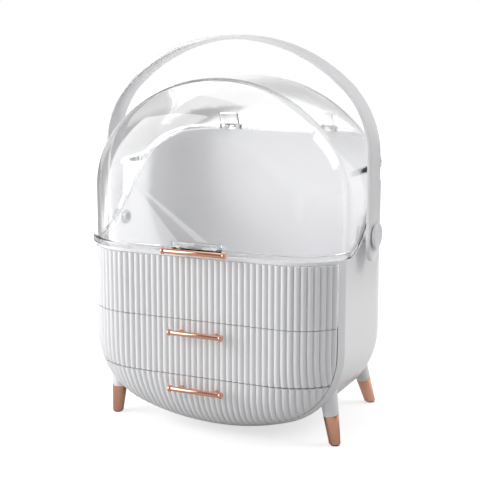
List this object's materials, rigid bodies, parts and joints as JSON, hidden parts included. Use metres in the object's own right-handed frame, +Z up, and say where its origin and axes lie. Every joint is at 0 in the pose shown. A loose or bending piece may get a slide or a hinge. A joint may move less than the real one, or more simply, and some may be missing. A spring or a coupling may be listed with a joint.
{
  "type": "dustproof make-up organiser",
  "caption": "White rounded make-up organiser on copper-tipped legs, with fluted drawers, a clear lifting dome cover with a copper pull, and an arched carry handle.",
  "frame": {"origin": "middle of the footprint on the ground, under the centre of the bounding box", "axes": "+X to the object's right as seen from the front, +Y to the back, +Z up; the drawers open towards -Y"},
  "size_m": [0.2998, 0.214, 0.3916],
  "materials": {
    "white": "satin moulded",
    "inner_white": "matt moulded",
    "clear": "clear moulded",
    "copper": "polished rose gold plating",
    "steel": "plain",
    "rubber": "matt"
  },
  "bodies": {
    "case": {"case_shell": "white", "front_panel": "white", "upper_deck": "inner_white", "lower_deck": "inner_white", "upper_runners": "inner_white", "lower_runners": "inner_white", "drawer_stops": "inner_white", "hinge_brackets": "white", "hinge_pins": "steel", "pivot_caps": "white", "pivot_bosses": "inner_white", "pivot_nuts": "steel", "leg_stubs": "white", "leg_sleeves": "copper", "leg_studs": "steel", "foot_pads": "rubber"},
    "lid": {"cover": "clear", "hinge_tabs": "clear", "cover_pull_plate": "clear", "cover_pull": "copper", "cover_pull_screws": "steel"},
    "handle": {"carry_handle": "white", "handle_bushings": "inner_white"},
    "upper_drawer": {"upper_tray": "inner_white", "upper_front": "white", "upper_pull": "copper", "upper_pull_screws": "steel"},
    "lower_drawer": {"lower_tray": "inner_white", "lower_front": "white", "lower_pull": "copper", "lower_pull_screws": "steel"}
  },
  "joints": [
    {"name": "cover_hinge", "type": "hinge", "parent": "case", "child": "lid", "pos_m": [0, 0.1035, 0.293], "axis": [-1, 0, 0], "range_deg": [0, 85]},
    {"name": "carry_handle_swing", "type": "hinge", "parent": "case", "child": "handle", "pos_m": [0, -0.0065, 0.202], "axis": [-1, 0, 0], "range_deg": [0, 115]},
    {"name": "upper_drawer_slide", "type": "slide", "parent": "case", "child": "upper_drawer", "axis": [0, -1, 0], "range_m": [0, 0.118]},
    {"name": "lower_drawer_slide", "type": "slide", "parent": "case", "child": "lower_drawer", "axis": [0, -1, 0], "range_m": [0, 0.118]}
  ],
  "couplings": [
    {"joint": "carry_handle_swing", "follows": "cover_hinge", "ratio": 1.35}
  ]
}
